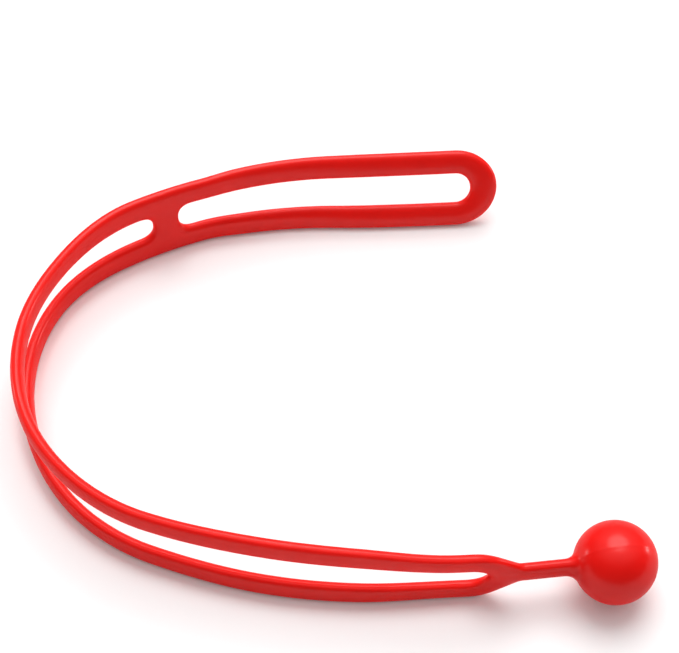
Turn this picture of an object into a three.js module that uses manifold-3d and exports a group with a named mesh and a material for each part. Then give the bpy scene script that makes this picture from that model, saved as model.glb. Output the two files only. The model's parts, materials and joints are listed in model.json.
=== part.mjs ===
// Ball tie: an elastic moulded strap with a ball and neck at one end, a fork, a long slot between
// two rails, a cross bridge, and a slotted end loop with a round end. It lies on its lower edge in
// an open C. The strap is one flexible moulding, so its rails are parted at the lines where it flexes.
// Millimetres and degrees, +Z up, the arms of the C along +X, the ball arm on the -Y side.
import * as THREE from 'three';
import { mergeVertices } from 'three/addons/utils/BufferGeometryUtils.js';
import Module from 'manifold-3d';

const wasm = await Module();
wasm.setup();

// Ball and neck
const ballDiameter = 18.2;
const neckLength = 11.2;
const neckWidth = 5.3;
const neckFlare = 3.2;

// Strap section
const strapWidth = 19.6;
const strapThickness = 3;
const railWidth = 5.65;
const edgeRadius = 1.2;

// Lengths along the strap, from the fork to the round end
const shoulderLength = 12;
const shoulderFillet = 1.1;
const forkWeb = 7;
const longSlotLength = 184.2;
const bridgeLength = 5.5;
const endSlotLength = 72.9;
const railStub = 2.5;
const sideOverlap = 1.5;

// Clearances: between two links at a flex line, and between the ball and its neck
const flexGap = 0.3;
const seatGap = 0.3;

// How the tie lies: lengths of the arcs of its plan, from the fork round the bend to the end loop
const ballRunLength = 43;
const ballArmLength = 37.4;
const nearBendLength = 59.6;
const farBendLength = 47;
const tailArmLength = 47.9;
const endRunLength = 39.3;

// The heading of its neck, then the clockwise turn of each arc
const neckHeading = 186.7;
const laidArcs = [
  { length: ballRunLength, turn: 12.3 },
  { length: ballArmLength, turn: 14.4 },
  { length: nearBendLength, turn: 71.7 },
  { length: farBendLength, turn: 60.5 },
  { length: tailArmLength, turn: 25 },
  { length: endRunLength, turn: -1.1 },
];

// Outward lean of the strap's width at even steps from the fork to the bridge and on to the end bow
const longLoopLean = [6.4, -2.6, -4.6, -0.9, 1.3, 3.9, 0.4, -2.6, 5];
const endLoopLean = [5, 15.8, 24.3, 26.1];

// Links between the flex lines of each loop
const longLinkCount = 16;
const endLinkCount = 6;

// Fineness of the faceted surfaces
const cornerPoints = 3;
const slotEndSteps = 6;
const bowSteps = 14;
const linkSteps = 3;
const noseSteps = 3;
const noseAngle = 72;
const flareSteps = 4;
const shoulderSteps = 9;
const ballSegments = 32;

const red = 0xd91a1c;
const gloss = 0.35;

// Places along the strap, measured from the neck's end of the fork
const halfWidth = strapWidth / 2;
const halfThickness = strapThickness / 2;
const slotHalf = halfWidth - railWidth;
const railMiddle = halfWidth - railWidth / 2;
const longSlotEnd = forkWeb + longSlotLength;
const endSlotStart = longSlotEnd + bridgeLength;
const endSlotEnd = endSlotStart + endSlotLength;
const strapEnd = endSlotEnd + railWidth;
const forkEnd = forkWeb + slotHalf + railStub;
const bridgeStart = longSlotEnd - slotHalf - railStub;
const bridgeEnd = endSlotStart + slotHalf + railStub;
const bowStart = endSlotEnd - slotHalf - railStub;
const neckFlex = -neckLength / 2;

const radians = THREE.MathUtils.degToRad;
const longFlexLines = divide(forkEnd, bridgeStart, longLinkCount);
const endFlexLines = divide(bridgeEnd, bowStart, endLinkCount);
const longLean = leanCurve(forkEnd, bridgeStart, longLoopLean);
const endLean = leanCurve(bridgeEnd, bowStart, endLoopLean);

function divide(from, to, count) {
  return Array.from({ length: count + 1 }, (_, i) => from + ((to - from) * i) / count);
}

function leanCurve(from, to, leans) {
  const places = divide(from, to, leans.length - 1);
  const curve = new THREE.CubicInterpolant(places, leans.map(radians), 1);
  curve.settings = { endingStart: THREE.ZeroSlopeEnding, endingEnd: THREE.ZeroSlopeEnding };
  return curve;
}

function leanAt(along) {
  const curve = along < endSlotStart ? longLean : endLean;
  return curve.evaluate(along)[0];
}

// One arc's chord: a step of the given length whose heading swings steadily
function arcStep(from, length, swing) {
  const bow = swing === 0 ? 1 : Math.sin(swing / 2) / (swing / 2);
  const middle = from.heading + swing / 2;
  return {
    x: from.x + length * bow * Math.cos(middle),
    y: from.y + length * bow * Math.sin(middle),
    heading: from.heading + swing,
  };
}

// Plan point and heading of the strap's middle line; it runs on straight past both ends of the arcs
function planAt(along) {
  let here = { x: 0, y: 0, heading: radians(neckHeading) };
  let left = along;
  for (const arc of laidArcs) {
    const step = THREE.MathUtils.clamp(left, 0, arc.length);
    here = arcStep(here, step, (-radians(arc.turn) * step) / arc.length);
    left -= step;
  }
  return arcStep(here, left, 0);
}

// The strap's own frame: travel along it, rise across its width, inward through its thickness.
// Its lower edge always touches the floor.
function strapFrame(along) {
  const plan = planAt(along);
  const lean = leanAt(along);
  const edge = Math.min(edgeRadius, halfThickness);
  const height =
    (halfWidth - edge) * Math.cos(lean) + (halfThickness - edge) * Math.abs(Math.sin(lean)) + edge;
  const travel = new THREE.Vector3(Math.cos(plan.heading), Math.sin(plan.heading), 0);
  const outward = new THREE.Vector3(-travel.y, travel.x, 0);
  const rise = new THREE.Vector3(0, 0, Math.cos(lean)).addScaledVector(outward, Math.sin(lean));
  return {
    middle: new THREE.Vector3(plan.x, plan.y, height),
    travel,
    rise,
    inward: new THREE.Vector3().crossVectors(travel, rise),
  };
}

// A point of the flat strap, laid in its place
function lay(along, across, depth) {
  const frame = strapFrame(along);
  return frame.middle.addScaledVector(frame.rise, across).addScaledVector(frame.inward, depth);
}

// Rounded rectangle about its middle, as points (across, depth)
function roundedSection(halfAcross, halfDepth, corner) {
  const radius = Math.min(corner, halfAcross, halfDepth);
  const points = [];
  for (let quarter = 0; quarter < 4; quarter += 1) {
    const side = quarter === 0 || quarter === 3 ? 1 : -1;
    const face = quarter < 2 ? 1 : -1;
    for (let i = 0; i < cornerPoints; i += 1) {
      const angle = (Math.PI / 2) * (quarter + i / (cornerPoints - 1));
      points.push([
        side * (halfAcross - radius) + radius * Math.cos(angle),
        face * (halfDepth - radius) + radius * Math.sin(angle),
      ]);
    }
  }
  return points;
}

// One section of a bar in the flat strap; swing turns it in the strap's plane
function section(along, low, high, depth = halfThickness, swing = 0, corner = edgeRadius) {
  const across = (low + high) / 2;
  return roundedSection((high - low) / 2, depth, corner).map(([out, inward]) =>
    lay(along + out * Math.sin(swing), across + out * Math.cos(swing), inward),
  );
}

// Closed bar through a row of sections
function bar(sections) {
  const count = sections[0].length;
  const positions = sections.flat().flatMap((point) => point.toArray());
  const index = [];
  for (let j = 0; j + 1 < sections.length; j += 1) {
    for (let k = 0; k < count; k += 1) {
      const a = j * count + k;
      const b = j * count + ((k + 1) % count);
      index.push(a, b, a + count, b, b + count, a + count);
    }
  }
  const last = (sections.length - 1) * count;
  for (let k = 1; k + 1 < count; k += 1) {
    index.push(0, k + 1, k, last, last + k, last + k + 1);
  }
  const geometry = new THREE.BufferGeometry();
  geometry.setAttribute('position', new THREE.Float32BufferAttribute(positions, 3));
  geometry.setIndex(index);
  return geometry;
}

function toSolid(geometry) {
  const bare = geometry.clone();
  bare.deleteAttribute('normal');
  bare.deleteAttribute('uv');
  const merged = mergeVertices(bare);
  return new wasm.Manifold(
    new wasm.Mesh({
      numProp: 3,
      vertProperties: new Float32Array(merged.attributes.position.array),
      triVerts: new Uint32Array(merged.index.array),
    }),
  );
}

function toGeometry(solid) {
  const mesh = solid.getMesh();
  const geometry = new THREE.BufferGeometry();
  geometry.setAttribute('position', new THREE.Float32BufferAttribute(mesh.vertProperties, 3));
  geometry.setIndex(Array.from(mesh.triVerts));
  return geometry;
}

// Rounded end of a link at a flex line: the bar thins over half its thickness. The row runs outward
// from the full section to the tip; facing is 1 where the link ends and -1 where it starts.
function nose(flexLine, facing, low, high, swing = 0) {
  const tip = flexLine - (facing * flexGap) / 2;
  const rows = [];
  for (let i = 0; i <= noseSteps; i += 1) {
    const angle = (radians(noseAngle) * i) / noseSteps;
    const setBack = halfThickness * (1 - Math.sin(angle));
    rows.push(section(tip - facing * setBack, low, high, halfThickness * Math.cos(angle), swing));
  }
  return rows;
}

// The edges of a slot's round end, from its closed end (out) to its full width
function slotEnd(closed, facing, outerAt) {
  const rows = [];
  for (let i = 1; i <= slotEndSteps; i += 1) {
    const angle = ((Math.PI / 2) * i) / slotEndSteps;
    const along = closed + facing * slotHalf * (1 - Math.cos(angle));
    rows.push({ along, inner: slotHalf * Math.sin(angle), outer: outerAt(along) });
  }
  return rows;
}

// A row of edges on both sides of the strap's middle line, joined into one solid. Where there is no
// slot, each side reaches past the middle line into the other.
function pairOfBars(rowsFor) {
  const upper = toSolid(bar(rowsFor(1)));
  const lower = toSolid(bar(rowsFor(-1)));
  return toGeometry(upper.add(lower));
}

function sideSection(row, side) {
  const ends = [side * row.inner, side * row.outer];
  return section(row.along, Math.min(...ends), Math.max(...ends));
}

function sideNose(flexLine, facing, side) {
  const ends = [side * slotHalf, side * halfWidth];
  return nose(flexLine, facing, Math.min(...ends), Math.max(...ends));
}

function ballPlace() {
  return lay(-neckLength - ballDiameter / 2, 0, 0);
}

function ballGeometry(clearance) {
  const centre = ballPlace();
  return new THREE.SphereGeometry(ballDiameter / 2 + clearance, ballSegments, ballSegments / 2)
    .rotateX(Math.PI / 2)
    .translate(centre.x, centre.y, centre.z);
}

// Neck from the ball to its flex line, with a fillet into the ball that it is seated on
function neckGeometry() {
  const half = neckWidth / 2;
  const flareCentreReach = ballDiameter / 2 + neckFlare;
  const meanHalf = (half + halfThickness) / 2;
  const flareCentre = Math.sqrt(flareCentreReach ** 2 - (meanHalf + neckFlare) ** 2);
  const flareSweep = Math.asin(flareCentre / flareCentreReach);
  const ballCentre = -neckLength - ballDiameter / 2;
  const insideBall = ballCentre + ballDiameter / 4;
  const flared = (along, flare) =>
    section(along, -half - flare, half + flare, halfThickness + flare, 0, edgeRadius + flare);
  const rows = [flared(insideBall, neckFlare * (1 - Math.cos(flareSweep)))];
  for (const angle of divide(flareSweep, 0, flareSteps)) {
    const along = ballCentre + flareCentre - neckFlare * Math.sin(angle);
    rows.push(flared(along, neckFlare * (1 - Math.cos(angle))));
  }
  rows.push(...nose(neckFlex, 1, -half, half));
  return toGeometry(toSolid(bar(rows)).subtract(toSolid(ballGeometry(seatGap))));
}

// Fork: half of the neck, a fillet to round shoulders, a web and the first of the two rails
function forkGeometry() {
  const half = neckWidth / 2;
  const quarter = Math.PI / 2;
  const shoulderAt = (along) => {
    const share = THREE.MathUtils.clamp(along / shoulderLength, 0, 1);
    return (halfWidth - half) * Math.sin(quarter * share);
  };
  const filletSlope =
    (((halfWidth - half) * quarter) / shoulderLength) * Math.cos((quarter * shoulderFillet) / shoulderLength);
  const filletRun = (2 * shoulderAt(shoulderFillet)) / filletSlope;
  const filletStart = shoulderFillet - filletRun;
  const outerAt = (along) =>
    along < shoulderFillet
      ? half + (filletSlope * (along - filletStart) ** 2) / (2 * filletRun)
      : half + shoulderAt(along);
  return pairOfBars((side) => {
    const rows = [...nose(neckFlex, -1, -half, half).reverse()];
    for (const along of divide(filletStart, forkWeb, shoulderSteps)) {
      rows.push(sideSection({ along, inner: -sideOverlap, outer: outerAt(along) }, side));
    }
    const opening = slotEnd(forkWeb, 1, outerAt);
    rows.push(...opening.map((row) => sideSection(row, side)));
    rows.push(...sideNose(longFlexLines[0], 1, side));
    return rows;
  });
}

// Bridge: the flat cross web with the ends of both slots and a stub of each rail
function bridgeGeometry() {
  const outerAt = () => halfWidth;
  return pairOfBars((side) => {
    const rows = [...sideNose(longFlexLines.at(-1), -1, side).reverse()];
    const closing = slotEnd(longSlotEnd, -1, outerAt).reverse();
    rows.push(...closing.map((row) => sideSection(row, side)));
    for (const along of [longSlotEnd, endSlotStart]) {
      rows.push(sideSection({ along, inner: -sideOverlap, outer: halfWidth }, side));
    }
    rows.push(...slotEnd(endSlotStart, 1, outerAt).map((row) => sideSection(row, side)));
    rows.push(...sideNose(endFlexLines[0], 1, side));
    return rows;
  });
}

// One rail between two flex lines
function railGeometry(from, to, side) {
  const rows = [...sideNose(from, -1, side).reverse()];
  const full = flexGap / 2 + halfThickness;
  for (const along of divide(from + full, to - full, linkSteps).slice(1, -1)) {
    rows.push(sideSection({ along, inner: slotHalf, outer: halfWidth }, side));
  }
  rows.push(...sideNose(to, 1, side));
  return bar(rows);
}

// End bow: a stub of the upper rail, round the end, and a stub of the lower rail
function bowGeometry() {
  const centre = strapEnd - halfWidth;
  const rows = [...sideNose(endFlexLines.at(-1), -1, 1).reverse()];
  const reach = railWidth / 2;
  for (let i = 0; i <= bowSteps; i += 1) {
    const swing = (Math.PI * i) / bowSteps;
    const along = centre + railMiddle * Math.sin(swing);
    const across = railMiddle * Math.cos(swing);
    rows.push(section(along, across - reach, across + reach, halfThickness, swing));
  }
  rows.push(...nose(endFlexLines.at(-1), -1, -halfWidth, -slotHalf, Math.PI));
  return bar(rows);
}

const tie = new THREE.Group();
tie.name = 'ball_tie';

function addPiece(name, geometry) {
  geometry.computeVertexNormals();
  const material = new THREE.MeshStandardMaterial({ color: red, roughness: gloss, metalness: 0 });
  const mesh = new THREE.Mesh(geometry, material);
  mesh.name = name;
  tie.add(mesh);
}

// Both rails of one loop, parted at each of its flex lines
function addRails(loop, flexLines) {
  for (let i = 0; i + 1 < flexLines.length; i += 1) {
    addPiece(`${loop}_upper_rail_${i + 1}`, railGeometry(flexLines[i], flexLines[i + 1], 1));
    addPiece(`${loop}_lower_rail_${i + 1}`, railGeometry(flexLines[i], flexLines[i + 1], -1));
  }
}

addPiece('ball', ballGeometry(0));
addPiece('neck', neckGeometry());
addPiece('fork', forkGeometry());
addRails('long', longFlexLines);
addPiece('bridge', bridgeGeometry());
addRails('end', endFlexLines);
addPiece('end_bow', bowGeometry());

// Origin under the middle of the tie, on the floor
const box = new THREE.Box3().setFromObject(tie);
const middle = box.getCenter(new THREE.Vector3());
tie.position.set(-middle.x, -middle.y, -box.min.z);

// Each flex line as a hinge: a point on the strap's middle line and the axis across its width
tie.userData.flexLines = [neckFlex, ...longFlexLines, ...endFlexLines].map((along) => {
  const frame = strapFrame(along);
  return { along, point: frame.middle.add(tie.position), axis: frame.rise };
});

export default tie;
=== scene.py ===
import json
import math

import bmesh
import bpy
from mathutils import Matrix, Vector


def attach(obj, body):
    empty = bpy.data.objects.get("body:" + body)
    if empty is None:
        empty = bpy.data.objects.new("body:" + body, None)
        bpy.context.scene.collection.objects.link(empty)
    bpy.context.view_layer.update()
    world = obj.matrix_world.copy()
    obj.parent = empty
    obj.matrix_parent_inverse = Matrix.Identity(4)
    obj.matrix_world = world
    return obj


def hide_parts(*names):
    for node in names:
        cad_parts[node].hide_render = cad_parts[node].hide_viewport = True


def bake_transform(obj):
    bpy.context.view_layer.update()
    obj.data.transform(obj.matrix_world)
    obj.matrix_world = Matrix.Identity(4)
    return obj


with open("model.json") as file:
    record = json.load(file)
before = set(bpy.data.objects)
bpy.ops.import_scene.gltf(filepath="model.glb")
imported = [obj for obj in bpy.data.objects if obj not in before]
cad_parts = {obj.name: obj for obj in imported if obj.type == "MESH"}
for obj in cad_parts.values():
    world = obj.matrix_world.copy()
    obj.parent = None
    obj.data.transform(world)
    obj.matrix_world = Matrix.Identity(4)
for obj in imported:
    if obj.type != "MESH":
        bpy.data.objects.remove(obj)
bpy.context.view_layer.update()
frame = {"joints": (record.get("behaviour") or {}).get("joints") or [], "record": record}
scene = bpy.context.scene

tie = bpy.data.collections.new("tie")
scene.collection.children.link(tie)

# Shapes are worked out in mm, and the frame is in metres
mmPerMetre = 1000
slack = 1e-4               # for telling whether a point lies on a line
looseSlack = 1e-3          # the same where many small steps have added up
weld = 0.005               # points this close together become one
slopeStep = 0.01           # half the step over which a curve's slope is taken

# The moulding laid out flat: x runs along the strap from where the neck meets the fork,
# y across its width, z through its thickness
strap = {
    "width": 19.53,        # 19.6 over the parting line
    "thickness": 3.0,
    "rail": 5.615,
    "edge": 1.2,           # radius of the lower edge that it lies on
    "rim": 1.4,            # width along every edge with close rows
    "wall": 0.1,           # half height left upright at the parting line
    "crown": 2.3,          # how round a rail is across, 2 being an ellipse
    "crownWidth": 2.8,     # how far in from an edge it is round
    "forkWeb": 7.0,
    "longSlot": 184.2,
    "bridge": 5.5,
    "endSlot": 72.9,
    "stub": 2.5,           # straight rail between a slot's round end and its flex line
    "longLinks": 16,
    "endLinks": 6,
    "linkRows": 12,
    "stubRows": 3,
    "turnRows": 48,        # rows round each slot end
    "edgeRows": 5,         # rows across each rounded edge
    "bridgeRows": 10,      # rows over half the bridge, short of its rounded edge
    "blunt": 2.4,          # how square the slots end at the bridge, 2 being round
    "broad": 0.65,         # how much wider each rail is beside the bridge than along the ball arm
    "broadFrom": 105,      # where the rails start to broaden
    "broadRun": 45,        # length over which they do
    "endBroad": 0.2,       # how much wider each rail is in the end loop
    "web": 0.45,           # how much the bridge fills the end of each slot
    "bowIn": 0.5,          # how much the bow fills the end of its slot
    "bowOut": 0.35,        # how much it stands out from a half circle
    "seam": 0.035,         # height of the parting line on the narrow edges
    "cutSlack": 0.02,      # points this near to a cut are taken to lie on it
}
neck = {
    "width": 5.75,
    "length": 11.2,
    "flare": 3.2,          # radius of the fillet at the ball
    "rows": 8,
    "flareRows": 20,
    "sunk": 2.1,           # how far its end goes on into the ball
    "tuck": 0.12,          # how fast the sunk end draws in under the ball's surface
}
shoulder = {
    "length": 12.0,
    "fillet": 0.6,         # where the fillet out of the neck ends
    "fullness": 0.95,      # how much rounder it is than a quarter of a sine
    "points": 120,         # points that its curve is measured with
}

halfWidth = strap["width"] / 2
halfThick = strap["thickness"] / 2
slotHalf = halfWidth - strap["rail"]
forkCentre = strap["forkWeb"] + slotHalf
longEnd = strap["forkWeb"] + strap["longSlot"]
longCentre = longEnd - slotHalf
bridgeMiddle = longEnd + strap["bridge"] / 2
endStart = longEnd + strap["bridge"]
endCentre = endStart + slotHalf
bowCentre = endStart + strap["endSlot"] - slotHalf
bowReach = halfWidth + strap["bowOut"]
quarterRows = strap["turnRows"] // 2
roundEnd = 2               # the bluntness of a plain round end


def divide(low, high, count):
    return [low + (high - low) * i / count for i in range(count + 1)]


longLines = divide(forkCentre + strap["stub"], longCentre - strap["stub"], strap["longLinks"])
endLines = divide(endCentre + strap["stub"], bowCentre - strap["stub"], strap["endLinks"])
neckLine = -neck["length"] / 2

# How the tie lies on the table: arcs of its plan as (length, clockwise turn), and its outward
# lean at even steps along each loop, in degrees
laid = {
    "heading": 186.7,
    "arcs": [(43, 12.3), (37.4, 14.4), (59.6, 71.7), (47, 60.5), (47.9, 25), (39.3, -1.1)],
    "longLean": [6.4, -2.6, -4.6, -0.9, 1.3, 3.9, 0.4, -3.2, 6.2],
    "endLean": [6.2, 12.4, 17, 21, 24.4, 25.7, 26.1],
}


def smoothRun(values, low, high, place):
    # cubic through evenly spaced values, held level outside their run
    count = len(values) - 1
    step = min(max((place - low) / (high - low) * count, 0), count)
    left = min(int(step), count - 1)
    t = step - left
    here, there = values[left], values[left + 1]
    before = values[left - 1] if left > 0 else there
    after = values[left + 2] if left + 2 <= count else there
    slopeHere, slopeThere = (there - before) / 2, (after - here) / 2
    return (
        here * (2 * t**3 - 3 * t**2 + 1)
        + slopeHere * (t**3 - 2 * t**2 + t)
        + there * (3 * t**2 - 2 * t**3)
        + slopeThere * (t**3 - t**2)
    )


def leanAt(along):
    if along < endStart:
        return math.radians(smoothRun(laid["longLean"], longLines[0], longLines[-1], along))
    return math.radians(smoothRun(laid["endLean"], endLines[0], endLines[-1], along))


def planAt(along):
    x, y, heading, left = 0.0, 0.0, math.radians(laid["heading"]), along
    for length, turn in laid["arcs"]:
        step = min(max(left, 0), length)
        swing = -math.radians(turn) * step / length
        bow = math.sin(swing / 2) / (swing / 2) if swing else 1
        x += step * bow * math.cos(heading + swing / 2)
        y += step * bow * math.sin(heading + swing / 2)
        heading += swing
        left -= step
    return x + left * math.cos(heading), y + left * math.sin(heading), heading


def lay(flat):
    # a point of the flat moulding put where it lies, before the whole is centred
    x, y, heading = planAt(flat[0])
    lean = leanAt(flat[0])
    edge = strap["edge"]
    overSeam = halfWidth + strap["seam"]
    height = (overSeam - edge) * math.cos(lean) + (halfThick - edge) * abs(math.sin(lean)) + edge
    travel = Vector((math.cos(heading), math.sin(heading), 0))
    outward = Vector((-travel.y, travel.x, 0))
    rise = Vector((0, 0, math.cos(lean))) + outward * math.sin(lean)
    return Vector((x, y, height)) + rise * flat[1] + travel.cross(rise) * flat[2]


neckJoint = next(j for j in frame["joints"] if j["name"] == "neck_bend")
centring = Vector(neckJoint["pos_m"]) - lay((neckLine, 0, 0)) / mmPerMetre


def place(flat):
    return lay(flat) / mmPerMetre + centring


def slopeOf(curve, along):
    return (curve(along + slopeStep) - curve(along - slopeStep)) / (2 * slopeStep)


def shoulderRise(along):
    # share of the way from the neck's width to the strap's
    t = min(along / shoulder["length"], 1)
    return math.sin(math.pi / 2 * (t + shoulder["fullness"] * t**3 * (1 - t)))


# A parabola leads out of the neck into the shoulder's slope
filletRun = 2 * shoulderRise(shoulder["fillet"]) / slopeOf(shoulderRise, shoulder["fillet"])
filletStart = shoulder["fillet"] - filletRun


def shoulderHalf(along):
    # half width of the fork: a fillet out of the neck, then a round shoulder
    half, fillet = neck["width"] / 2, shoulder["fillet"]
    share = shoulderRise(max(along, fillet))
    if along < fillet:
        share *= (max(along - filletStart, 0) / filletRun) ** 2
    return half + (halfWidth - half) * share


def evenPoints(points, count):
    # points at even steps along a broken line
    lengths = [(b - a).length for a, b in zip(points, points[1:])]
    found, i, gone = [], 0, 0.0
    for target in divide(0, sum(lengths), count):
        while i < len(lengths) - 1 and gone + lengths[i] < target:
            gone += lengths[i]
            i += 1
        found.append(points[i].lerp(points[i + 1], (target - gone) / lengths[i]))
    return found


# Distances from an edge at which its rounding is followed
edgeSteps = [strap["rim"] * (1 - math.cos(a)) for a in divide(0, math.pi / 2, strap["edgeRows"])]


def rimSpaced(width):
    # places across a rail, close together at both its edges
    half = edgeSteps + [(edgeSteps[-1] + width / 2) / 2, width / 2]
    return half + [width - d for d in reversed(half[:-1])]


def sweep(bm, row, move, steps):
    return bmesh.ops.spin(
        bm, geom=row, cent=(0, 0, 0), axis=(0, 0, 1), dvec=(move / steps, 0, 0), angle=0,
        steps=steps,
    )["geom_last"]


def turnRound(bm, row, centre):
    return bmesh.ops.spin(
        bm, geom=row, cent=(centre, 0, 0), axis=(0, 0, 1), angle=-math.pi,
        steps=strap["turnRows"],
    )["geom_last"]


def slottedLoop(bm, near, far, links):
    # one rail out, round the far end of the slot, the other rail back and round the near end
    verts = [bm.verts.new((near, slotHalf + d, 0)) for d in rimSpaced(strap["rail"])]
    row = verts + [bm.edges.new(pair) for pair in zip(verts, verts[1:])]
    run = far - near - 2 * strap["stub"]
    for back in (1, -1):
        row = sweep(bm, row, back * strap["stub"], strap["stubRows"])
        row = sweep(bm, row, back * run, links * strap["linkRows"])
        row = sweep(bm, row, back * strap["stub"], strap["stubRows"])
        row = turnRound(bm, row, far if back > 0 else near)
    bmesh.ops.remove_doubles(bm, verts=bm.verts, dist=weld)


def slotEdge(along):
    # half width of the slots, which are narrower where the rails broaden
    if along > bridgeMiddle:
        return slotHalf - strap["endBroad"]
    t = min(max((along - strap["broadFrom"]) / strap["broadRun"], 0), 1)
    return slotHalf - strap["broad"] * t * t * (3 - 2 * t)


def roundness(across, up, blunt):
    return (abs(across) ** blunt + abs(up) ** blunt) ** (1 / blunt)


def broadenRails(bm, near, far):
    for v in bm.verts:
        if near - slack < v.co.x < far + slack:
            share = (abs(v.co.y) - slotHalf) / strap["rail"]
            edge = slotEdge(v.co.x)
            v.co.y = math.copysign(edge + share * (halfWidth - edge), v.co.y)


def reshapeTurn(bm, centre, facing, outline, reach, blunt):
    # pull a slot end's half ring on to the slot's own end and on to an outline, which runs from
    # the middle to the upper rail and is mirrored below
    edge = slotEdge(centre)
    for v in bm.verts:
        out = (v.co.x - centre) * facing
        if out < slack or out > halfWidth + looseSlack:
            continue
        angle = math.atan2(abs(v.co.y), out)
        share = (math.hypot(out, v.co.y) - slotHalf) / strap["rail"]
        size = 1 / roundness(math.cos(angle), math.sin(angle), blunt)
        innerX = centre + facing * size * reach * math.cos(angle)
        inner = Vector((innerX, size * edge * math.sin(angle), 0))
        outer = outline[round(angle / (math.pi / 2) * quarterRows)]
        side = 1 if v.co.y >= 0 else -1
        spot = inner.lerp(outer, share)
        v.co = (spot.x, side * spot.y, 0)


def flatSheet():
    bm = bmesh.new()
    slottedLoop(bm, forkCentre, longCentre, strap["longLinks"])
    broadenRails(bm, forkCentre, longCentre)
    # fork: the half ring's rim goes to the end of the neck and up the shoulder
    half = neck["width"] / 2
    forkRim = [Vector((filletStart, 0, 0))]
    forkRim += [Vector((filletStart, half - d, 0)) for d in reversed(edgeSteps[1:])]
    curve = divide(filletStart, forkCentre, shoulder["points"])
    curve = [Vector((x, shoulderHalf(x), 0)) for x in curve]
    forkRim += evenPoints(curve, quarterRows - len(forkRim))
    reshapeTurn(bm, forkCentre, -1, forkRim, slotHalf, roundEnd)
    # bridge, long side: the rim goes to the middle of the web and along the strap's edge
    middle = divide(0, halfWidth - strap["rim"], strap["bridgeRows"])
    middle += [halfWidth - d for d in reversed(edgeSteps[:-1])]
    edge = divide(bridgeMiddle, longCentre, quarterRows + 1 - len(middle))
    webRim = [Vector((bridgeMiddle, y, 0)) for y in middle]
    webRim += [Vector((x, halfWidth, 0)) for x in edge[1:]]
    reshapeTurn(bm, longCentre, 1, webRim, slotHalf - strap["web"], strap["blunt"])
    # the end loop, whose half ring at the bridge mirrors that one
    endLoop = bmesh.new()
    slottedLoop(endLoop, endCentre, bowCentre, strap["endLinks"])
    broadenRails(endLoop, endCentre, bowCentre)
    mirrored = [Vector((2 * bridgeMiddle - p.x, p.y, 0)) for p in webRim]
    reshapeTurn(endLoop, endCentre, -1, mirrored, slotHalf - strap["web"], strap["blunt"])
    bowRim = [
        Vector((bowCentre + bowReach * math.cos(a), halfWidth * math.sin(a), 0))
        for a in divide(0, math.pi / 2, quarterRows)
    ]
    reshapeTurn(endLoop, bowCentre, 1, bowRim, slotHalf - strap["bowIn"], roundEnd)
    scrap = bpy.data.meshes.new("endLoop")
    endLoop.to_mesh(scrap)
    endLoop.free()
    bm.from_mesh(scrap)
    bpy.data.meshes.remove(scrap)
    bmesh.ops.remove_doubles(bm, verts=bm.verts, dist=weld)
    # neck, from the fork to its sunk end in the ball
    row = [v for v in bm.verts if v.co.x < filletStart + looseSlack]
    row += [e for e in bm.edges if all(v in row for v in e.verts)]
    flareStart = -neck["length"] + neck["flare"]
    row = sweep(bm, row, flareStart - filletStart, neck["rows"])
    sweep(bm, row, -neck["flare"] - neck["sunk"], neck["flareRows"])
    return bm


def edgeDistance(x, y):
    # distance in the flat from a point to the nearest outline or slot edge
    y = abs(y)
    slots = []
    for near, far in ((forkCentre, longCentre), (endCentre, bowCentre)):
        closest = min(max(x, near), far)
        past, edge, reach, blunt = x - closest, slotEdge(closest), slotHalf, roundEnd
        if longCentre < x < endCentre:
            reach, blunt = slotHalf - strap["web"], strap["blunt"]
        elif x > bowCentre:
            reach = slotHalf - strap["bowIn"]
        out = roundness(past / reach, y / edge, blunt)
        slots.append(math.hypot(past, y) * (1 - 1 / out))
    if x > bowCentre:
        out = roundness((x - bowCentre) / bowReach, y / halfWidth, roundEnd)
        outline = math.hypot(x - bowCentre, y) * (1 / out - 1)
    else:
        outline = (shoulderHalf(x) - y) / math.hypot(1, slopeOf(shoulderHalf, x))
    return max(min(outline, *slots), 0)


def heightAt(x, y):
    # half thickness at a point of the flat, rounding off towards every edge
    inside = min(edgeDistance(x, y) / strap["crownWidth"], 1)
    rounded = (1 - (1 - inside) ** strap["crown"]) ** (1 / strap["crown"])
    return strap["wall"] + (halfThick - strap["wall"]) * rounded


def flareNeck(bm):
    # widen the neck into the ball with a fillet that is tangent to both
    radius, flare, centre = ball["diameter"] / 2, neck["flare"], ball["centre"]
    for v in bm.verts:
        out = math.hypot(v.co.y, v.co.z)
        if v.co.x > neckLine or out < slack:
            continue
        reach = math.sqrt((radius + flare) ** 2 - (out + flare) ** 2)
        onNeck, onBall = centre + reach, centre + radius * reach / (radius + flare)
        if v.co.x >= onNeck:
            continue
        if v.co.x >= onBall:
            wide = out + flare - math.sqrt(max(flare**2 - (onNeck - v.co.x) ** 2, 0))
        else:
            inBall = math.sqrt(radius**2 - (v.co.x - centre) ** 2)
            wide = inBall - neck["tuck"] * (onBall - v.co.x)
        v.co.y *= wide / out
        v.co.z *= wide / out


def smoothFaces(bm):
    for face in bm.faces:
        face.smooth = True


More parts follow.
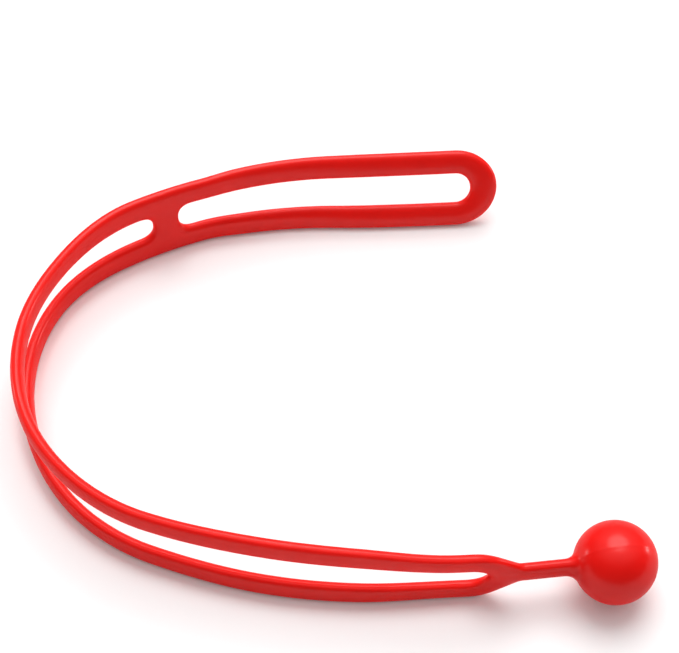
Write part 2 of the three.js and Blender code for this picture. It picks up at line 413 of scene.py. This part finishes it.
def flatMoulding():
    bm = flatSheet()
    lifted = bmesh.ops.extrude_face_region(bm, geom=bm.faces[:])["geom"]
    upper = [g for g in lifted if isinstance(g, bmesh.types.BMVert)]
    bmesh.ops.translate(bm, verts=bm.verts, vec=(0, 0, -halfThick))
    bmesh.ops.translate(bm, verts=upper, vec=(0, 0, 2 * halfThick))
    # a row of points at mid thickness, where the mould parts
    walls = [e for e in bm.edges if abs(e.verts[0].co.z - e.verts[1].co.z) > halfThick]
    bmesh.ops.subdivide_edges(bm, edges=walls, cuts=1)
    bmesh.ops.recalc_face_normals(bm, faces=bm.faces)
    bm.normal_update()
    sunkEnd = min(v.co.x for v in bm.verts)
    for v in bm.verts:
        if abs(v.co.z) > slack:
            v.co.z = math.copysign(heightAt(v.co.x, v.co.y), v.co.z)
        elif v.co.x > sunkEnd + looseSlack:
            v.co += v.normal * strap["seam"]
    flareNeck(bm)
    smoothFaces(bm)
    return bm


def cutOff(bm, along, keepAbove):
    # cut square across the strap, close the cut and keep it out of the smooth shading
    cut = bmesh.ops.bisect_plane(
        bm, geom=bm.verts[:] + bm.edges[:] + bm.faces[:], dist=strap["cutSlack"],
        plane_co=(along, 0, 0), plane_no=(1, 0, 0),
        clear_inner=keepAbove, clear_outer=not keepAbove,
    )["geom_cut"]
    rim = [g for g in cut if isinstance(g, bmesh.types.BMEdge)]
    for face in bmesh.ops.holes_fill(bm, edges=rim, sides=0)["faces"]:
        face.normal_update()
        if (face.normal.x > 0) == keepAbove:
            face.normal_flip()
        face.smooth = False
        for e in face.edges:
            e.smooth = False


def toPiece(name, bm, material):
    # lay the flat shape where it belongs, keeping its flat coordinates for the finish
    flat = bm.verts.layers.float_vector.new("flat")
    for v in bm.verts:
        v[flat] = v.co
        v.co = place(v.co)
    mesh = bpy.data.meshes.new(name)
    bm.to_mesh(mesh)
    bm.free()
    piece = bpy.data.objects.new(name, mesh)
    mesh.materials.append(material)
    tie.objects.link(piece)
    return piece


# Patterns are (scale, detail) of a noise over the flat moulding
elastomer = {
    "deep": (0.78, 0.005, 0.003, 1),
    "bright": (1.0, 0.012, 0.008, 1),
    "mottle": (0.16, 3),          # slow drift of the pigment
    "mottleShare": 0.5,           # how far the drift goes from deep to bright
    "thinShare": 0.5,             # painted light: how much nearer to bright the strap is coloured than the ball, standing in for light coming through it
    "wear": (0.5, 4),             # handled and clean patches of the gloss
    "wearReach": (0.35, 0.65),    # part of that pattern which the roughness covers
    "roughness": (0.36, 0.46),
    "ior": 1.41,
    "specular": 0.03,
    "skin": 0.118,                # weight of the glossy moulded skin
    "skinIor": 2.4,
    "skinRoughness": 0.23,
    "sinks": (0.35, 1),           # shallow sink marks of the moulding
    "sinkDepth": 0.00004,         # in metres
    "sinkStrength": 0.6,
}


def redElastomer():
    material = bpy.data.materials.new("redElastomer")
    material.use_nodes = True
    nodes, link = material.node_tree.nodes, material.node_tree.links.new
    shader = nodes["Principled BSDF"]
    flat = nodes.new("ShaderNodeAttribute")
    flat.attribute_name = "flat"
    textures = {}
    for pattern in ("mottle", "wear", "sinks"):
        texture = textures[pattern] = nodes.new("ShaderNodeTexNoise")
        texture.inputs["Scale"].default_value = elastomer[pattern][0]
        texture.inputs["Detail"].default_value = elastomer[pattern][1]
        link(flat.outputs["Vector"], texture.inputs["Vector"])
    # painted light: the strap is coloured nearer to bright than the ball, rising over the neck
    # and shoulder, to stand in for light that comes through it
    along = nodes.new("ShaderNodeSeparateXYZ")
    paintedGlowRamp = nodes.new("ShaderNodeMapRange")
    paintedGlowRamp.inputs["From Min"].default_value = -neck["length"]
    paintedGlowRamp.inputs["From Max"].default_value = shoulder["length"]
    paintedGlowRamp.inputs["To Max"].default_value = elastomer["thinShare"]
    # share of bright: the pigment's mottle plus that painted light
    mottleAndPaintedGlow = nodes.new("ShaderNodeMath")
    mottleAndPaintedGlow.operation = "MULTIPLY_ADD"
    mottleAndPaintedGlow.inputs[1].default_value = elastomer["mottleShare"]
    tint = nodes.new("ShaderNodeMix")
    tint.data_type = "RGBA"
    tint.inputs["A"].default_value = elastomer["deep"]
    tint.inputs["B"].default_value = elastomer["bright"]
    link(flat.outputs["Vector"], along.inputs["Vector"])
    link(along.outputs["X"], paintedGlowRamp.inputs["Value"])
    link(textures["mottle"].outputs["Fac"], mottleAndPaintedGlow.inputs[0])
    link(paintedGlowRamp.outputs["Result"], mottleAndPaintedGlow.inputs[2])
    link(mottleAndPaintedGlow.outputs["Value"], tint.inputs["Factor"])
    link(tint.outputs["Result"], shader.inputs["Base Color"])
    gloss = nodes.new("ShaderNodeMapRange")
    gloss.inputs["From Min"].default_value = elastomer["wearReach"][0]
    gloss.inputs["From Max"].default_value = elastomer["wearReach"][1]
    gloss.inputs["To Min"].default_value = elastomer["roughness"][0]
    gloss.inputs["To Max"].default_value = elastomer["roughness"][1]
    link(textures["wear"].outputs["Fac"], gloss.inputs["Value"])
    link(gloss.outputs["Result"], shader.inputs["Roughness"])
    bump = nodes.new("ShaderNodeBump")
    bump.inputs["Strength"].default_value = elastomer["sinkStrength"]
    bump.inputs["Distance"].default_value = elastomer["sinkDepth"]
    link(textures["sinks"].outputs["Fac"], bump.inputs["Height"])
    link(bump.outputs["Normal"], shader.inputs["Normal"])
    link(bump.outputs["Normal"], shader.inputs["Coat Normal"])
    shader.inputs["IOR"].default_value = elastomer["ior"]
    shader.inputs["Specular IOR Level"].default_value = elastomer["specular"]
    shader.inputs["Coat Weight"].default_value = elastomer["skin"]
    shader.inputs["Coat Roughness"].default_value = elastomer["skinRoughness"]
    shader.inputs["Coat IOR"].default_value = elastomer["skinIor"]
    return material


red = redElastomer()

# Ball, with the mould's parting line round it in the plane of the strap
ball = {
    "diameter": 18.12,
    "centre": -20.3,
    "around": 64,
    "fromPole": 32,
    "seam": 0.04,
    "seamWidth": 0.5,
}
bm = bmesh.new()
bmesh.ops.create_uvsphere(
    bm, u_segments=ball["around"], v_segments=ball["fromPole"], radius=ball["diameter"] / 2
)
polesAlongNeck = Matrix.Rotation(math.pi / 2, 3, "Y")
bmesh.ops.rotate(bm, verts=bm.verts, cent=(0, 0, 0), matrix=polesAlongNeck)
for side in (-1, 1):
    bmesh.ops.bisect_plane(
        bm, geom=bm.verts[:] + bm.edges[:] + bm.faces[:], dist=slack,
        plane_co=(0, 0, side * ball["seamWidth"] / 2), plane_no=(0, 0, 1),
    )
for v in bm.verts:
    if abs(v.co.z) < looseSlack:
        v.co *= 1 + ball["seam"] / v.co.length
bmesh.ops.translate(bm, verts=bm.verts, vec=(ball["centre"], 0, 0))
smoothFaces(bm)
ballPiece = toPiece("ballSkin", bm, red)
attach(ballPiece, "ball_end")
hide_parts("ball")
print("ball: %d faces" % len(ballPiece.data.polygons))

# The strap is one skin, cut at the middle of every link into lengths, one round each flex line
bodies = ["ball_end", "fork"]
bodies += ["long_link_%d" % (i + 1) for i in range(strap["longLinks"])]
bodies += ["bridge"] + ["end_link_%d" % (i + 1) for i in range(strap["endLinks"])] + ["end_bow"]
flexLines = [neckLine] + longLines + endLines
longMiddles = [(a + b) / 2 for a, b in zip(longLines, longLines[1:])]
endMiddles = [(a + b) / 2 for a, b in zip(endLines, endLines[1:])]
cuts = [None, filletStart] + longMiddles + [bridgeMiddle] + endMiddles + [None]
moulding = flatMoulding()
print("flat moulding: %d faces" % len(moulding.faces))
members = frame["record"]["behaviour"]["bodies"]
for i, line in enumerate(flexLines):
    low, high = cuts[i], cuts[i + 1]
    bm = moulding.copy()
    reach = []
    if low is not None:
        cutOff(bm, low, True)
        reach.append(line - low)
    if high is not None:
        cutOff(bm, high, False)
        reach.append(high - line)
    skin = toPiece("strapSkin_%02d" % (i + 1), bm, red)
    place((line - min(reach), 0, 0))
    place((line + min(reach), 0, 0))
    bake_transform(skin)
    stoodFor = ["neck"] if i == 0 else list(members[bodies[i]])
    if i == len(flexLines) - 1:
        stoodFor += members[bodies[-1]]
    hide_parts(*stoodFor)
moulding.free()
print("strap: %d skins" % len(flexLines))

# White floor under a pale surround that is brightest overhead; lengths are in metres
studio = {
    "floor": (0.88, 0.88, 0.88, 1),
    "floorReach": 3,
    "lift": 0.08,                 # the floor's last step to white
    "white": (1, 1, 1, 1),
    "overhead": (0.05, 0.43, 0.9),
    "surround": (0.14, 1.2),      # strength at the sides and overhead
    "surroundFade": (0.3, 1.0),   # from where to where it grows, as the cosine from overhead
    "panel": 1.9,
    "panelAngle": 46,
    "lampDistance": 0.8,
    "lampSize": 0.12,
    "lamps": {                    # direction and power
        "rightLamp": ((0.95, 0.31, 0.06), 0.8),
        "leftLamp": ((-0.95, 0.3, 0.08), 0.65),
    },
}
bm = bmesh.new()
bmesh.ops.create_grid(bm, x_segments=1, y_segments=1, size=studio["floorReach"])
floorMesh = bpy.data.meshes.new("floor")
bm.to_mesh(floorMesh)
bm.free()
floor = bpy.data.objects.new("floor", floorMesh)
scene.collection.objects.link(floor)
floorWhite = bpy.data.materials.new("floorWhite")
floorWhite.use_nodes = True
nodes, link = floorWhite.node_tree.nodes, floorWhite.node_tree.links.new
shader = nodes["Principled BSDF"]
shader.inputs["Base Color"].default_value = studio["floor"]
shader.inputs["Roughness"].default_value = 1.0
shader.inputs["Specular IOR Level"].default_value = 0.0
shader.inputs["Emission Color"].default_value = studio["white"]
# the last of its white is for the eye and for reflections, and lights nothing
rays = nodes.new("ShaderNodeLightPath")
seen = nodes.new("ShaderNodeMath")
seen.operation = "ADD"
seenThrough = nodes.new("ShaderNodeMath")
seenThrough.operation = "ADD"
lifted = nodes.new("ShaderNodeMath")
lifted.operation = "MULTIPLY"
lifted.inputs[1].default_value = studio["lift"]
link(rays.outputs["Is Camera Ray"], seen.inputs[0])
link(rays.outputs["Is Glossy Ray"], seen.inputs[1])
link(seen.outputs[0], seenThrough.inputs[0])
link(rays.outputs["Is Transmission Ray"], seenThrough.inputs[1])
link(seenThrough.outputs[0], lifted.inputs[0])
link(lifted.outputs[0], shader.inputs["Emission Strength"])
floorMesh.materials.append(floorWhite)

# the floor lies at the tie's lowest point, so that no bend of the tie goes through it
under = bpy.data.node_groups.new("underTie", "GeometryNodeTree")
for way in ("INPUT", "OUTPUT"):
    under.interface.new_socket("Geometry", in_out=way, socket_type="NodeSocketGeometry")
nodes, link = under.nodes, under.links.new
flatFloor, sunkFloor = nodes.new("NodeGroupInput"), nodes.new("NodeGroupOutput")
skins = nodes.new("GeometryNodeCollectionInfo")
skins.transform_space = "RELATIVE"
skins.inputs["Collection"].default_value = tie
whole = nodes.new("GeometryNodeRealizeInstances")
extent = nodes.new("GeometryNodeBoundBox")
lowest = nodes.new("ShaderNodeSeparateXYZ")
drop = nodes.new("ShaderNodeCombineXYZ")
lower = nodes.new("GeometryNodeTransform")
link(skins.outputs["Instances"], whole.inputs["Geometry"])
link(whole.outputs["Geometry"], extent.inputs["Geometry"])
link(extent.outputs["Min"], lowest.inputs["Vector"])
link(lowest.outputs["Z"], drop.inputs["Z"])
link(drop.outputs["Vector"], lower.inputs["Translation"])
link(flatFloor.outputs["Geometry"], lower.inputs["Geometry"])
link(lower.outputs["Geometry"], sunkFloor.inputs["Geometry"])
floor.modifiers.new("underTie", "NODES").node_group = under

world = bpy.data.worlds.new("surround")
scene.world = world
world.use_nodes = True
nodes, link = world.node_tree.nodes, world.node_tree.links.new
skyward = nodes.new("ShaderNodeTexCoord")
upward = nodes.new("ShaderNodeVectorMath")
upward.operation = "DOT_PRODUCT"
upward.inputs[1].default_value = Vector(studio["overhead"]).normalized()
fade = nodes.new("ShaderNodeMapRange")
fade.interpolation_type = "SMOOTHSTEP"
fade.inputs["From Min"].default_value = studio["surroundFade"][0]
fade.inputs["From Max"].default_value = studio["surroundFade"][1]
fade.inputs["To Min"].default_value = studio["surround"][0]
fade.inputs["To Max"].default_value = studio["surround"][1]
link(skyward.outputs["Generated"], upward.inputs[0])
link(upward.outputs["Value"], fade.inputs["Value"])
link(fade.outputs["Result"], nodes["Background"].inputs["Strength"])
nodes["Background"].inputs["Color"].default_value = studio["white"]


def aim(lamp, direction):
    # point a lamp from a direction towards the tie
    lamp.rotation_mode = "QUATERNION"
    lamp.rotation_quaternion = (-Vector(direction)).to_track_quat("-Z", "Y")


# Wide overhead panel, a little behind the tie
panel = bpy.data.lights.new("overheadPanel", "SUN")
panel.energy, panel.angle = studio["panel"], math.radians(studio["panelAngle"])
panelLamp = bpy.data.objects.new("overheadPanel", panel)
aim(panelLamp, studio["overhead"])
scene.collection.objects.link(panelLamp)

# Small low lamps to the sides, for the glints on the ball
for name, (direction, power) in studio["lamps"].items():
    light = bpy.data.lights.new(name, "AREA")
    light.shape, light.size, light.energy = "DISK", studio["lampSize"], power
    lamp = bpy.data.objects.new(name, light)
    lamp.location = Vector(direction).normalized() * studio["lampDistance"]
    aim(lamp, direction)
    scene.collection.objects.link(lamp)
print("stage: floor, surround and lamps")

view = {
    "target": (0.002826, 0.018593, 0),
    "distance": 0.45912,
    "elevation": 54.263,
    "turn": 0.189,
    "focal": 1933.4,              # in pixels of the picture
    "pictureWidth": 679,
    "sensor": 36,
    "clip": (0.01, 20),
}
camera = bpy.data.objects.new("camera", bpy.data.cameras.new("camera"))
scene.collection.objects.link(camera)
turn, lift = math.radians(view["turn"]), math.radians(view["elevation"])
back = Vector((math.sin(turn) * math.cos(lift), -math.cos(turn) * math.cos(lift), math.sin(lift)))
camera.location = Vector(view["target"]) + back * view["distance"]
camera.rotation_mode = "QUATERNION"
camera.rotation_quaternion = (-back).to_track_quat("-Z", "Y")
camera.data.sensor_width = view["sensor"]
camera.data.lens = view["focal"] * view["sensor"] / view["pictureWidth"]
camera.data.clip_start, camera.data.clip_end = view["clip"]
scene.camera = camera
scene.view_settings.view_transform = "Standard"
